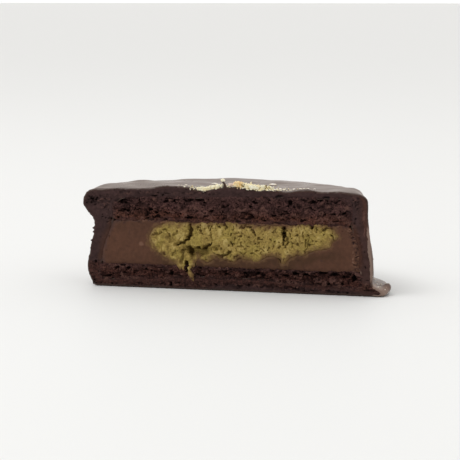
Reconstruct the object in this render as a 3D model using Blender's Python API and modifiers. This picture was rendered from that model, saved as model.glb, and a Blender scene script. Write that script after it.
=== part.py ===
"""Half of a chocolate-coated alfajor, cut straight down through its middle.

Two dark cocoa biscuits hold a ganache filling with a pistachio core in it, and a dark
chocolate coat is poured over the whole cookie, so that it stands thick at the rim and
spreads into a thin foot on the tray. The knife has taken the front half away: the cut
face looks along -Y and shows every layer.

+X runs along the cut face, +Y from the cut towards the round back, +Z up. The cookie
rests flat on z = 0, with the origin under the middle of its box.
"""

import math

import bmesh
import bpy

MM = 0.001

# The whole cookie
TURN_STEPS = 80
GAP = 0.3 * MM
BASE_RADIUS = 35.0 * MM
HEIGHT = 25.2 * MM
TOP_EDGE_ROUND = 2.4 * MM
BASE_EDGE_ROUND = 0.25 * MM

# The coat's side, as pushes away from the base radius. Each swells on the left side,
# where more chocolate ran down, and shrinks on the right.
BELLY_HEIGHT = 5.2 * MM
BELLY_SPREAD = 4.6 * MM
BELLY_LEFT = 1.8 * MM
BELLY_RIGHT = 0.6 * MM
RIM_HEIGHT = 21.4 * MM
RIM_SPREAD_UNDER = 2.9 * MM
RIM_SPREAD_OVER = 4.6 * MM
RIM_LEFT = 3.6 * MM
RIM_RIGHT = 0.8 * MM
WAIST_LOW = 6.0 * MM
WAIST_HIGH = 18.5 * MM
WAIST_LEFT = 0.7 * MM
WAIST_RIGHT = 2.0 * MM
RIPPLE = 0.24 * MM

# The foot of chocolate that ran out over the tray, at the right end
FOOT_REACH = 4.6 * MM
FOOT_HEIGHT = 3.3 * MM
FOOT_ANGLE = math.radians(14.0)
FOOT_SPREAD = math.radians(22.0)
FOOT_EVERYWHERE = 0.4 * MM

# The top, with soft waves, a lower back rim and a slight rise to the right
TOP_WAVE = 0.28 * MM
TOP_WAVE_LENGTH = 17.0 * MM
TOP_RISE = 0.012
BACK_DROP = 0.6 * MM

# The layers, about an axis a little right of the base's middle
FILLING_X = 0.3 * MM
BISCUIT_ROUND = 1.8 * MM
BOTTOM_RADIUS = 33.7 * MM
BOTTOM_LOW = 1.2 * MM
BOTTOM_DOME = 1.3 * MM
BOTTOM_HIGH = 5.9 * MM
GANACHE_RADIUS = 32.9 * MM
GANACHE_LOW = BOTTOM_HIGH + GAP
GANACHE_HIGH = 17.0 * MM
TOP_RADIUS = 30.4 * MM
TOP_LOW = GANACHE_HIGH + GAP
TOP_HIGH = 23.3 * MM
TOP_BISCUIT_RISE = 0.034

# The piped pistachio core, nearer the right side, its underside wavy and rising to the right
CORE_X = 3.0 * MM
CORE_RADIUS = 23.8 * MM
CORE_LOW = 8.2 * MM
CORE_HIGH = GANACHE_HIGH
CORE_ROUND_TOP = 2.4 * MM
CORE_ROUND_LOW = 4.6 * MM
CORE_RISE = 0.045
CORE_WAVE = 0.55 * MM


def bell(value, middle, spread):
    """A smooth hump of height 1 at the middle, fading to nothing over the spread."""
    return math.exp(-((value - middle) / spread) ** 2)


def ramp(value, start, end):
    """0 before the start, 1 after the end, with a smooth change between."""
    share = min(max((value - start) / (end - start), 0.0), 1.0)
    return share * share * (3.0 - 2.0 * share)


def between(right_size, left_size, angle):
    """A size that changes smoothly from the cookie's right side to its left side."""
    left = (1.0 - math.cos(angle)) / 2.0
    return right_size + (left_size - right_size) * left


def top_plate(radius, high, edge, rings):
    """Profile points across a flat top and round its edge."""
    flat = radius - edge
    points = [(flat * ring / rings, high) for ring in range(rings)]
    for step in range(4):
        angle = math.radians(90.0 - 30.0 * step)
        points.append((flat + edge * math.cos(angle), high - edge + edge * math.sin(angle)))
    return points


def bottom_plate(radius, low, edge, rings, dome=0.0):
    """Profile points round the lower edge and inwards, the middle raised by the dome."""
    flat = radius - edge
    points = []
    for step in range(4):
        angle = math.radians(-30.0 * step)
        points.append((flat + edge * math.cos(angle), low + edge + edge * math.sin(angle)))
    for ring in reversed(range(rings)):
        share = ring / rings
        points.append((flat * share, low + dome * (1.0 - share * share)))
    return points


def ganache_side(gap):
    """The filling's side, drawn in towards the smaller upper biscuit."""
    points = []
    for row in range(5):
        share = 1.0 - row / 4.0
        radius = GANACHE_RADIUS + (TOP_RADIUS - GANACHE_RADIUS) * share ** 2
        points.append((radius + gap, GANACHE_LOW + (GANACHE_HIGH - GANACHE_LOW) * share))
    return points


def coat_profile():
    """The coat's outer side, before the chocolate's flow pushes it about."""
    points = top_plate(BASE_RADIUS, HEIGHT, TOP_EDGE_ROUND, 8)
    high = HEIGHT - TOP_EDGE_ROUND
    low = 1.2 * FOOT_HEIGHT
    rows = 9
    points += [(BASE_RADIUS, high + (low - high) * row / rows) for row in range(1, rows + 1)]
    points += [(BASE_RADIUS, FOOT_HEIGHT * share) for share in (0.95, 0.7, 0.45, 0.2)]
    points += [(BASE_RADIUS - BASE_EDGE_ROUND, 0.0), (BASE_RADIUS * 0.5, 0.0), (0.0, 0.0)]
    return points


def hollow_profile():
    """The room inside the coat that the three layers fill, with a gap all round."""
    bottom = BOTTOM_RADIUS + GAP
    points = top_plate(TOP_RADIUS + GAP, TOP_HIGH + GAP, BISCUIT_ROUND, 2)
    points += ganache_side(GAP)
    points += [(bottom, BOTTOM_HIGH - BISCUIT_ROUND)]
    points += bottom_plate(bottom, BOTTOM_LOW - GAP, BISCUIT_ROUND, 4, BOTTOM_DOME)
    return points


def top_biscuit_profile():
    points = top_plate(TOP_RADIUS, TOP_HIGH, BISCUIT_ROUND, 2)
    return points + bottom_plate(TOP_RADIUS, TOP_LOW, BISCUIT_ROUND, 2)


def bottom_biscuit_profile():
    points = top_plate(BOTTOM_RADIUS, BOTTOM_HIGH, BISCUIT_ROUND, 2)
    return points + bottom_plate(BOTTOM_RADIUS, BOTTOM_LOW, BISCUIT_ROUND, 4, BOTTOM_DOME)


def ganache_profile():
    points = [(TOP_RADIUS * ring / 2.0, GANACHE_HIGH) for ring in range(2)]
    points += ganache_side(0.0)
    return points + [(GANACHE_RADIUS * ring / 2.0, GANACHE_LOW) for ring in (1, 0)]


def core_profile(gap):
    points = top_plate(CORE_RADIUS + gap, CORE_HIGH + 2.0 * gap, CORE_ROUND_TOP, 2)
    return points + bottom_plate(CORE_RADIUS + gap, CORE_LOW - gap, CORE_ROUND_LOW, 8)


def foot_push(angle, z):
    """How far the foot reaches out: a tongue with a rounded lip, thin all round the base."""
    around = math.atan2(math.sin(angle - FOOT_ANGLE), math.cos(angle - FOOT_ANGLE))
    reach = FOOT_REACH * bell(around, 0.0, FOOT_SPREAD) + FOOT_EVERYWHERE
    height = min(max(z / FOOT_HEIGHT, 0.0), 1.0)
    return reach * (1.0 - height ** 2.2)


def side_push(angle, z):
    """The belly, waist and overhanging rim of the poured coat, fuller on the left."""
    rim_spread = RIM_SPREAD_OVER if z > RIM_HEIGHT else RIM_SPREAD_UNDER
    push = between(BELLY_RIGHT, BELLY_LEFT, angle) * bell(z, BELLY_HEIGHT, BELLY_SPREAD)
    push += between(RIM_RIGHT, RIM_LEFT, angle) * bell(z, RIM_HEIGHT, rim_spread)
    push -= between(WAIST_RIGHT, WAIST_LEFT, angle) * ramp(z, WAIST_LOW, WAIST_HIGH)
    back = math.sin(angle) ** 2
    push += back * RIPPLE * math.sin(3.0 * angle + 0.6 + z / (9.0 * MM))
    push += back * RIPPLE * 0.6 * math.sin(8.0 * angle + 2.1) * ramp(z, 0.0, RIM_HEIGHT)
    return push + foot_push(angle, z)


def pour_coat(point):
    """Moves a point of the turned coat to where the chocolate set."""
    x, y, z = point
    radius = math.hypot(x, y)
    angle = math.atan2(y, x)
    grown = radius + side_push(angle, z) * (radius / BASE_RADIUS) ** 3
    wave = math.sin(x / TOP_WAVE_LENGTH * math.tau + 0.8) * math.cos(y / TOP_WAVE_LENGTH * 4.0)
    lift = TOP_WAVE * wave + TOP_RISE * x - BACK_DROP * ramp(y, 0.0, BASE_RADIUS)
    share = ramp(z, 0.5 * HEIGHT, HEIGHT)
    return grown * math.cos(angle), grown * math.sin(angle), z + lift * share


def settle_layer(point):
    """Tilts the upper biscuit up to the right and centres the layers on their axis."""
    x, y, z = point
    rise = TOP_BISCUIT_RISE * x * ramp(z, TOP_LOW, TOP_HIGH)
    return x + FILLING_X, y, z + rise


def pipe_core(point):
    """Gives the piped core its wavy underside."""
    x, y, z = point
    low = 1.0 - ramp(z, CORE_LOW, CORE_HIGH)
    wave = CORE_WAVE * math.sin(x / (2.3 * MM) - 0.9) * math.cos(y / (6.0 * MM))
    fade = 1.0 - ramp(math.hypot(x, y), 0.7 * CORE_RADIUS, CORE_RADIUS)
    return x + CORE_X, y, z + low * (wave * fade + CORE_RISE * x)


def turned(name, profile, shape, collection):
    """Turns a profile about Z with a Screw, then moves every point with the shape function."""
    outline = bpy.data.meshes.new(name)
    edges = [(first, first + 1) for first in range(len(profile) - 1)]
    outline.from_pydata([(r, 0.0, z) for r, z in profile], edges, [])
    piece = bpy.data.objects.new(name, outline)
    collection.objects.link(piece)
    screw = piece.modifiers.new("turn", "SCREW")
    screw.angle = math.tau
    screw.steps = TURN_STEPS
    screw.render_steps = TURN_STEPS
    screw.use_merge_vertices = True
    screw.merge_threshold = 0.00001
    keep_modified_mesh(piece)
    for vertex in piece.data.vertices:
        vertex.co = shape(vertex.co)
    return piece


def keep_modified_mesh(piece):
    """Makes what the modifiers show the piece's own mesh."""
    graph = bpy.context.evaluated_depsgraph_get()
    solid = bpy.data.meshes.new_from_object(piece.evaluated_get(graph))
    piece.modifiers.clear()
    piece.data = solid
    solid.name = piece.name


def as_cutter(piece):
    """Marks a piece as a tool that only cuts."""
    piece.display_type = "WIRE"
    piece.hide_render = True
    return piece


def front_block(collection):
    """The half of space in front of the knife."""
    bm = bmesh.new()
    bmesh.ops.create_cube(bm, size=1.0)
    for vertex in bm.verts:
        vertex.co.x *= 3.0 * BASE_RADIUS
        vertex.co.y = (vertex.co.y - 0.5) * 2.0 * BASE_RADIUS
        vertex.co.z *= 4.0 * HEIGHT
    mesh = bpy.data.meshes.new("front_block")
    bm.to_mesh(mesh)
    bm.free()
    block = bpy.data.objects.new("front_block", mesh)
    collection.objects.link(block)
    return as_cutter(block)


def cut_away(piece, tool, label):
    """Takes the tool's volume off the piece, for good."""
    boolean = piece.modifiers.new(label, "BOOLEAN")
    boolean.operation = "DIFFERENCE"
    boolean.solver = "EXACT"
    boolean.object = tool
    keep_modified_mesh(piece)


def dress(piece, colour, roughness):
    """Gives a piece its material and soft shading with crisp cut edges."""
    material = bpy.data.materials.new(piece.name)
    material.use_nodes = True
    shader = material.node_tree.nodes["Principled BSDF"]
    shader.inputs["Base Color"].default_value = (*colour, 1.0)
    shader.inputs["Roughness"].default_value = roughness
    shader.inputs["Metallic"].default_value = 0.0
    piece.data.materials.clear()
    piece.data.materials.append(material)
    piece.data.shade_smooth()
    piece.data.set_sharp_from_angle(angle=math.radians(35.0))


def centre_on_floor(pieces, guide):
    """Moves all the pieces so that the guide's box stands centred on the origin."""
    points = [vertex.co for vertex in guide.data.vertices]
    middle_x = (min(p.x for p in points) + max(p.x for p in points)) / 2.0
    middle_y = (min(p.y for p in points) + max(p.y for p in points)) / 2.0
    for piece in pieces:
        for vertex in piece.data.vertices:
            vertex.co.x -= middle_x
            vertex.co.y -= middle_y


def main():
    for old in list(bpy.data.objects):
        bpy.data.objects.remove(old)
    cookie = bpy.data.collections.new("alfajor_half")
    cutters = bpy.data.collections.new("cutters")
    bpy.context.scene.collection.children.link(cookie)
    bpy.context.scene.collection.children.link(cutters)

    block = front_block(cutters)
    hollow = as_cutter(turned("hollow", hollow_profile(), settle_layer, cutters))
    core_room = as_cutter(turned("core_room", core_profile(GAP), pipe_core, cutters))

    coating = turned("coating", coat_profile(), pour_coat, cookie)
    biscuit_bottom = turned("biscuit_bottom", bottom_biscuit_profile(), settle_layer, cookie)
    ganache = turned("ganache", ganache_profile(), settle_layer, cookie)
    pistachio = turned("pistachio", core_profile(0.0), pipe_core, cookie)
    biscuit_top = turned("biscuit_top", top_biscuit_profile(), settle_layer, cookie)

    pieces = [coating, biscuit_bottom, ganache, pistachio, biscuit_top]
    for piece in pieces:
        cut_away(piece, block, "knife")
    cut_away(coating, hollow, "room for the layers")
    cut_away(ganache, core_room, "room for the core")

    dress(coating, (0.035, 0.020, 0.015), 0.35)
    dress(biscuit_bottom, (0.030, 0.014, 0.010), 0.85)
    dress(ganache, (0.085, 0.038, 0.022), 0.45)
    dress(pistachio, (0.230, 0.160, 0.040), 0.75)
    dress(biscuit_top, (0.034, 0.016, 0.012), 0.85)
    centre_on_floor(pieces, coating)


main()
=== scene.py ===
# %% [markdown]
# # Half of a chocolate-coated alfajor
#
# The cookie is two dark cocoa biscuits with a ganache filling between them and a pistachio
# core inside the filling. A dark chocolate coat was poured over it, and a knife then took
# the front half away. The solids of every layer are already built to size. This script
# gives each layer its real surface: satin chocolate outside, and on the cut face the
# pores, cracks and smears that the knife left.

# %% Load the measured model
import math
import random

import bpy
import numpy as np
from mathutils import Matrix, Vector
from mathutils.bvhtree import BVHTree


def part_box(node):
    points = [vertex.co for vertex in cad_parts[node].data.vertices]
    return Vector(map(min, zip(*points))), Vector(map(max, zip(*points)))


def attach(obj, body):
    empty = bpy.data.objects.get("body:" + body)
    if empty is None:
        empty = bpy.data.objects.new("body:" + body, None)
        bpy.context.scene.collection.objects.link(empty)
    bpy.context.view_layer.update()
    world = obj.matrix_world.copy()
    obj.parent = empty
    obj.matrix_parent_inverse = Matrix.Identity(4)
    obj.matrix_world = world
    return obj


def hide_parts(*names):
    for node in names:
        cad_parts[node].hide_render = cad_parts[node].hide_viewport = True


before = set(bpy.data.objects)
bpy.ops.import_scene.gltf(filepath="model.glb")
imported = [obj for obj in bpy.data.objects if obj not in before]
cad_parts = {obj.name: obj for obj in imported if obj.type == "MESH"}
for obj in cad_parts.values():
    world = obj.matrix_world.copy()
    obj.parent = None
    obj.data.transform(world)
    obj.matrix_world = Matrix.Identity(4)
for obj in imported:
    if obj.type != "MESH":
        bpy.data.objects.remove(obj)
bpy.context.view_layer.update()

mm = 0.001
coat_low, coat_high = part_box("coating")
lid_low, lid_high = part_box("biscuit_top")
base_low, base_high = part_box("biscuit_bottom")
core_low, core_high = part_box("pistachio")
cut_y = coat_low[1]
layers_x = (lid_low[0] + lid_high[0]) / 2
axis_x = layers_x - 0.3 * mm
print("cut face at y =", round(cut_y / mm, 2), "mm, cookie's axis at x =",
      round(axis_x / mm, 2), "mm")
print("coat", round((coat_high[2] - coat_low[2]) / mm, 1), "mm tall, lower biscuit",
      round((base_high[0] - base_low[0]) / mm, 1), "mm wide")

# %% [markdown]
# ## Working habits
#
# Operators act on everything that is selected, and the loaded solids arrive selected, so
# each step first calms the selection down and then picks one piece. Modifiers are applied
# as soon as they have done their work, because the finished mesh is what counts.

# %% Small helpers for picking, adding and joining


def pick(piece):
    """Leaves edit mode and selects this piece alone."""
    if bpy.context.object and bpy.context.object.mode != "OBJECT":
        bpy.ops.object.mode_set(mode="OBJECT")
    bpy.ops.object.select_all(action="DESELECT")
    piece.select_set(True)
    bpy.context.view_layer.objects.active = piece


def edit_all(piece):
    """Opens a piece for editing with all of it selected."""
    pick(piece)
    bpy.ops.object.mode_set(mode="EDIT")
    bpy.ops.mesh.select_all(action="SELECT")


def closed(piece):
    """Turns every face outwards, leaves edit mode and returns the piece."""
    bpy.ops.mesh.select_all(action="SELECT")
    bpy.ops.mesh.normals_make_consistent(inside=False)
    bpy.ops.object.mode_set(mode="OBJECT")
    return piece


def added(operator, **settings):
    """Adds a plain shape with nothing else selected."""
    bpy.ops.object.select_all(action="DESELECT")
    operator(**settings)
    return bpy.context.object


def settle(piece):
    """Applies a piece's own place, turn and size to its points."""
    pick(piece)
    bpy.ops.object.transform_apply(location=True, rotation=True, scale=True)
    return piece


def joined(pieces, name):
    """Makes one piece of many."""
    pick(pieces[0])
    for piece in pieces:
        piece.select_set(True)
    bpy.ops.object.join()
    bpy.context.object.name = name
    return settle(bpy.context.object)


def modify(piece, kind, **settings):
    """Adds a modifier with these settings and applies it at once."""
    modifier = piece.modifiers.new(kind.lower(), kind)
    for setting, value in settings.items():
        setattr(modifier, setting, value)
    pick(piece)
    bpy.ops.object.modifier_apply(modifier=modifier.name)


def cut_along(piece, place, normal):
    """Cuts a piece along a plane, keeps the side its normal points to and fills the cut."""
    edit_all(piece)
    bpy.ops.mesh.bisect(plane_co=place, plane_no=normal, use_fill=True, clear_inner=True)
    bpy.ops.object.mode_set(mode="OBJECT")


def report(piece):
    size = " x ".join(f"{side / mm:.1f}" for side in piece.dimensions)
    print(piece.name, len(piece.data.polygons), "faces,", size, "mm")


# %% [markdown]
# ## The poured coat, ring by ring
#
# The coat's wall is not a plain cylinder. It bulges near the base, pulls in at a waist and
# hangs over in a thick rim, most of all at the left. A lathe would make both sides alike, so
# the wall is built as a stack of rings instead: a disc is extruded upwards, and each new
# ring is scaled and shifted until it reaches as far to the left and to the right as the
# chocolate does at that height.

# %% Stack the rings of the coat
wall_rows = (  # height, reach to the left, reach to the right, in mm from the axis
    (0.0, 35.2, 34.9), (0.5, 35.6, 35.1), (1.7, 36.1, 35.2), (3.2, 36.8, 35.3), (4.7, 37.1, 35.4),
    (6.5, 36.9, 35.4), (8.5, 36.4, 35.4), (10.4, 36.1, 35.2), (12.4, 35.6, 34.9),
    (14.4, 35.2, 34.3), (16.3, 35.0, 33.7), (17.6, 35.6, 33.2), (18.9, 36.6, 33.0),
    (20.1, 37.5, 33.0), (21.2, 38.0, 33.0), (22.4, 37.9, 33.1), (23.4, 37.5, 33.0),
    (24.1, 37.0, 32.6), (24.7, 36.0, 31.8), (25.05, 34.7, 30.6),
)


def stacked_rings(name, rows, corners=128):
    """A closed round body from rows of (height, left reach, right reach)."""
    height, left, right = rows[0]
    piece = added(bpy.ops.mesh.primitive_circle_add, vertices=corners,
                  radius=(left + right) / 2 * mm, fill_type="NGON",
                  location=(axis_x + (right - left) / 2 * mm, cut_y, height * mm))
    piece.name = name
    settle(piece)
    edit_all(piece)
    for (low, left_0, right_0), (high, left_1, right_1) in zip(rows, rows[1:]):
        shift = ((right_1 - left_1) - (right_0 - left_0)) / 2 * mm
        bpy.ops.mesh.extrude_region_move(
            TRANSFORM_OT_translate={"value": (shift, 0, (high - low) * mm)})
        growth = (left_1 + right_1) / (left_0 + right_0)
        middle = (axis_x + (right_1 - left_1) / 2 * mm, cut_y, high * mm)
        bpy.ops.transform.resize(value=(growth, growth, 1), center_override=middle)
    return closed(piece)


coat = stacked_rings("choc_coat", wall_rows, 180)
report(coat)

# %% [markdown]
# ## The foot and its rolled-up tip
#
# At the right end some chocolate ran out over the tray and set as a foot, and its tip rolled
# up into a bead. Wider rings would spread it all round the wall. A flattened ball pushed
# half into the wall has its shape, and a small ball on its tip is the bead. Remeshing them as
# one skin later melts the creases between them, as the flowing chocolate did.

# %% Add the foot at the right end
foot_angle = math.radians(14)
foot_reaches = (6.7 * mm, 14 * mm, 1.65 * mm)  # outwards, round the wall and upwards
foot_out = 33.0 * mm
foot_up = 1.05 * mm
bead_radius = 1.3 * mm
bead_stretch = (1, 1.3, 1)
bead_at = (38.5, 3.7, 2.0)  # x from the axis, distance behind the cut and height, in mm

foot = added(bpy.ops.mesh.primitive_uv_sphere_add, segments=48, ring_count=24, radius=1,
             location=(0, 0, 0))
bpy.ops.transform.resize(value=foot_reaches)
settle(foot)
outwards = Vector((math.cos(foot_angle), math.sin(foot_angle), 0))
foot.rotation_euler = (0, 0, foot_angle)
foot.location = Vector((axis_x, cut_y, foot_up)) + foot_out * outwards
settle(foot)
cut_along(foot, (0, 0, 0), (0, 0, 1))
bead = added(bpy.ops.mesh.primitive_uv_sphere_add, segments=24, ring_count=16, radius=bead_radius)
bpy.ops.transform.resize(value=bead_stretch)
bead.location = (axis_x + bead_at[0] * mm, cut_y + bead_at[1] * mm, bead_at[2] * mm)
settle(bead)
coat = joined([coat, foot, bead], "choc_coat")
report(coat)

# %% [markdown]
# ## One even skin, then the flow of the chocolate
#
# The Remesh modifier turns the stack into small square faces of one size. On that skin,
# Displace modifiers push the surface in and out by smooth noise: broad swells, and upright
# ripples where the chocolate ran down. A vertex group keeps the flat base still.

# %% Remesh and ripple the coat
base_hold = 4 * mm


def even_skin(piece, size):
    modify(piece, "REMESH", mode="VOXEL", voxel_size=size * mm)


def soften(piece, rounds):
    modify(piece, "SMOOTH", factor=0.5, iterations=rounds)


def swell(piece, size, strength, upright):
    """Pushes the wall along its normals by smooth noise, stretched upright; sizes in mm."""
    texture = bpy.data.textures.new("swell", "CLOUDS")
    texture.noise_scale = size * mm
    texture.noise_depth = 1
    guide = bpy.data.objects.new("guide", None)
    bpy.context.collection.objects.link(guide)
    guide.scale = (1, 1, upright)
    bpy.context.view_layer.update()
    modify(piece, "DISPLACE", texture=texture, texture_coords="OBJECT",
           texture_coords_object=guide, strength=strength * mm, mid_level=0.5,
           vertex_group="wall")
    bpy.data.objects.remove(guide)
    bpy.data.textures.remove(texture)


even_skin(coat, 0.5)
soften(coat, 8)
wall = coat.vertex_groups.new(name="wall")
for vertex in coat.data.vertices:
    wall.add([vertex.index], max(0.0, min(1.0, vertex.co.z / base_hold)), "REPLACE")
swell(coat, 11, 0.9, 2.2)
swell(coat, 4.5, 0.3, 1.6)
report(coat)

# %% [markdown]
# ### The top and its edge at the cut
#
# The top is not level. Its edge at the cut rises and dips where the nuts lie, the top
# falls a little towards the back, and the rim flares out at the right end of the cut. The
# points are moved by measured heights, which fade out behind the cut; a sculpted top would
# not keep those heights.

# %% Shape the top
edge_heights = (  # x from the axis and height of the coat's upper edge at the cut, in mm
    (-34.4, 24.9), (-25.0, 25.25), (-20.5, 25.3), (-17.3, 25.9), (-11.1, 25.75), (-9.4, 25.35),
    (-6.6, 24.85), (-3.5, 25.6), (-1.5, 26.0), (1.0, 26.2), (3.6, 26.1), (6.2, 25.85), (9.7, 25.7),
    (14.2, 25.3), (16.4, 25.6), (19.4, 25.75), (22.2, 25.55), (27.0, 25.8), (30.7, 25.4),
    (32.1, 25.15),
)
ripple_reach = 9 * mm
top_radius = 34 * mm
back_drop = 0.65 * mm
left_lift = 0.3 * mm
rim_flare = 1.15 * mm


def soft_share(value, start, end):
    """0 below the start, 1 above the end, smooth between, for one plain number."""
    share = max(0.0, min(1.0, (value - start) / (end - start)))
    return share * share * (3 - 2 * share)


for vertex in coat.data.vertices:
    x = (vertex.co.x - axis_x) / mm
    behind = vertex.co.y - cut_y
    lift = (np.interp(x, *zip(*edge_heights)) - wall_rows[-1][0]) * mm
    lift *= math.exp(-(behind / ripple_reach) ** 2)
    lift -= back_drop * soft_share(behind, 0, top_radius)
    lift += left_lift * soft_share(-x, 23, 31) * soft_share(behind, 1 * mm, 8 * mm)
    vertex.co.z += lift * soft_share(vertex.co.z / mm, 14, 23)
    flare = soft_share(x, 28, 32) * soft_share(vertex.co.z / mm, 10, 19)
    vertex.co.x += rim_flare * (flare * (1 - soft_share(behind, 0.5 * mm, 5 * mm)))
report(coat)

# %% [markdown]
# Where the wet coat met the tray, it crept out into a thin ragged lip. The lowest points of
# the wall are pushed outwards by an uneven amount.

# %% Let the coat creep out at its base
lip_height = 0.9 * mm
lip_reach = 0.45 * mm
for vertex in coat.data.vertices:
    out = Vector((vertex.co.x - axis_x, vertex.co.y - cut_y, 0))
    if vertex.co.z > lip_height or out.length < 30 * mm or out.y < 1 * mm:
        continue
    angle = math.atan2(out.y, out.x)
    ragged = 0.55 + 0.25 * math.sin(23 * angle) + 0.2 * math.sin(61 * angle + 1.3)
    share = (1 - vertex.co.z / lip_height) * soft_share(out.y, 1 * mm, 8 * mm)
    vertex.co += out.normalized() * lip_reach * ragged * share
report(coat)

# %% [markdown]
# ## The layers and the knife
#
# The biscuits and the ganache are rings too, stacked like the coat. The upper layers rise a
# little to the right, where more filling lies beneath. The knife's plane is the same for
# every layer: Bisect removes what is in front of it and closes the cut with one flat face.

# %% Stack the layers
base_rows = (  # height, reach to the left, reach to the right, in mm from the axis
    (2.6, 5.0, 5.0), (2.4, 14.0, 14.0), (1.9, 23.0, 23.0), (1.4, 30.0, 30.0), (1.3, 32.6, 32.0),
    (1.6, 33.6, 32.8), (2.6, 34.3, 33.2), (5.0, 34.1, 33.2), (5.8, 33.6, 32.7), (6.1, 32.6, 31.8),
)
ganache_rows = (
    (5.7, 33.2, 32.2), (7.2, 33.4, 32.4), (9.0, 33.2, 32.5), (11.5, 32.5, 32.3),
    (13.4, 31.6, 31.8), (15.4, 31.0, 31.0), (16.5, 30.2, 30.2), (17.1, 29.3, 29.4),
    (17.5, 28.0, 28.4),
)
lid_rows = (
    (16.9, 28.6, 28.6), (17.2, 29.7, 29.9), (18.2, 30.3, 30.6), (20.0, 30.5, 30.7),
    (21.9, 30.3, 30.5), (23.1, 29.6, 29.8), (23.8, 28.2, 28.4),
)
lid_rise = 0.024


def tilt_up(piece):
    """Raises the right end of the upper layers."""
    for vertex in piece.data.vertices:
        share = (vertex.co.z / mm - lid_rows[0][0]) / (lid_rows[-1][0] - lid_rows[0][0])
        vertex.co.z += lid_rise * (vertex.co.x - layers_x) * max(0.0, min(1.0, share))


lid = stacked_rings("biscuit_lid", lid_rows)
tilt_up(lid)
floor_biscuit = stacked_rings("biscuit_base", base_rows)
ganache = stacked_rings("ganache_filling", ganache_rows)
layers = (lid, floor_biscuit, ganache)
for layer in layers:
    report(layer)

# %% [markdown]
# ### Room inside the coat, and the broken foot
#
# The coat is a shell round the layers. A Boolean takes their room out of it, a little
# smaller than they are, so that no gap opens between them. The foot did not follow the
# knife: it broke off on a slant behind the cut. Pushing its points back would only dent it,
# so a block, turned to the slant of the break, takes the broken piece away.

# %% Hollow the coat and break its foot
overlap = 0.9
break_start = Vector((axis_x + 35.2 * mm, cut_y, 3.1 * mm))
break_end = Vector((axis_x + 38.7 * mm, cut_y, 0))
break_slant = math.radians(52)
block_run, block_climb, block_depth = 8, 10, 8  # size of the block, in mm


def cut_room(piece, tool):
    """Takes the tool's volume off the piece and puts the tool away."""
    modify(piece, "BOOLEAN", operation="DIFFERENCE", solver="EXACT", object=tool)
    bpy.data.objects.remove(tool)


room_rows = []
for rows, shift in ((base_rows[:8], overlap), (ganache_rows[1:6], 0), (lid_rows[3:], -overlap)):
    room_rows += [(height + shift, left - overlap, right - overlap) for height, left, right in rows]
room = stacked_rings("room", room_rows)
tilt_up(room)
cut_along(coat, (0, cut_y, 0), (0, 1, 0))
cut_room(coat, room)

down_the_foot = (break_end - break_start).normalized()
off_the_foot = Vector((-down_the_foot.z, 0, down_the_foot.x))
leaning = off_the_foot * math.cos(break_slant) + Vector((0, math.sin(break_slant), 0))
forward = leaning.cross(down_the_foot)
forward *= -1 if forward.y > 0 else 1
wedge = added(bpy.ops.mesh.primitive_cube_add, size=1)
for vertex in wedge.data.vertices:
    along, lean, thick = vertex.co  # from -0.5 to 0.5; a tenth of the climb lies under the foot
    vertex.co = (break_start + down_the_foot * (along + 0.5) * block_run * mm
                 + leaning * (lean + 0.4) * block_climb * mm
                 + forward * (thick + 0.5) * block_depth * mm)
edit_all(wedge)
cut_room(coat, closed(wedge))
report(coat)
even_skin(coat, 0.55)
soften(coat, 1)
report(coat)
for layer in layers:
    cut_along(layer, (0, cut_y, 0), (0, 1, 0))

# %% [markdown]
# ## The pistachio core
#
# The core was piped as a thick round cake. Its cut shows a lumpy outline: a rounded left
# tip, drips along the underside and a higher right end. A ball or a lathe has no such
# outline, so it is set as a ring of points on the cut plane and filled. It is then extruded
# backwards in steps, each step narrower, so that the body follows the round of the cake.

# %% Draw the core's outline and extrude it back
core_outline = (  # x from the axis and height, in mm, anticlockwise from the left tip
    (-21.1, 11.3), (-20.0, 9.8), (-17.2, 8.1), (-14.9, 6.9), (-14.0, 6.1), (-12.9, 4.8),
    (-11.8, 4.2), (-11.0, 4.1), (-10.5, 2.6), (-9.3, 1.7), (-9.1, 3.4), (-9.2, 5.2), (-8.8, 7.2),
    (-8.3, 7.8), (-7.2, 7.5), (-6.3, 6.7), (-5.2, 7.0), (-4.5, 8.0), (-3.2, 8.1), (-2.0, 8.0),
    (-1.0, 7.9), (0.0, 7.2), (1.0, 7.4), (2.2, 8.2), (4.0, 8.0), (6.6, 7.5), (8.0, 8.2),
    (10.1, 9.2), (12.2, 8.9), (13.0, 7.0), (14.0, 7.1), (14.9, 8.9), (17.0, 9.7), (18.5, 9.3),
    (21.0, 10.9), (23.0, 11.1), (25.0, 11.6), (25.6, 13.1), (27.3, 14.4), (25.9, 16.6),
    (22.9, 17.7), (13.5, 16.8), (7.0, 16.6), (0.5, 17.4), (-10.0, 17.0), (-16.6, 16.9),
    (-19.3, 15.5), (-20.7, 13.4),
)
core_x = (core_low[0] + core_high[0]) / 2
core_radius = (core_high[0] - core_low[0]) / 2
core_middle = 13 * mm
steps_back = 14
far_step_height = 0.985

core = added(bpy.ops.mesh.primitive_circle_add, vertices=len(core_outline), radius=1 * mm,
             fill_type="NGON")
core.name = "pistachio_core"
for vertex, (along, height) in zip(core.data.vertices, core_outline):
    vertex.co = (axis_x + along * mm, cut_y, height * mm)
edit_all(core)
width, depth = 1.0, 0.0
for step in range(1, steps_back + 1):
    angle = math.radians(90) * step / (steps_back + 1)
    depth_1 = math.sin(angle) * core_radius
    width_1 = math.cos(angle)
    bpy.ops.mesh.extrude_region_move(TRANSFORM_OT_translate={"value": (0, depth_1 - depth, 0)})
    lower = far_step_height if step > steps_back / 2 else 1.0
    bpy.ops.transform.resize(value=(width_1 / width, 1, lower),
                             center_override=(core_x, 0, core_middle))
    depth, width = depth_1, width_1
closed(core)
report(core)

# %% [markdown]
# The ganache was filled round the core, so it needs a hole for it. A slightly smaller copy of
# the core is the tool, and the two meet with no gap.

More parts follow.
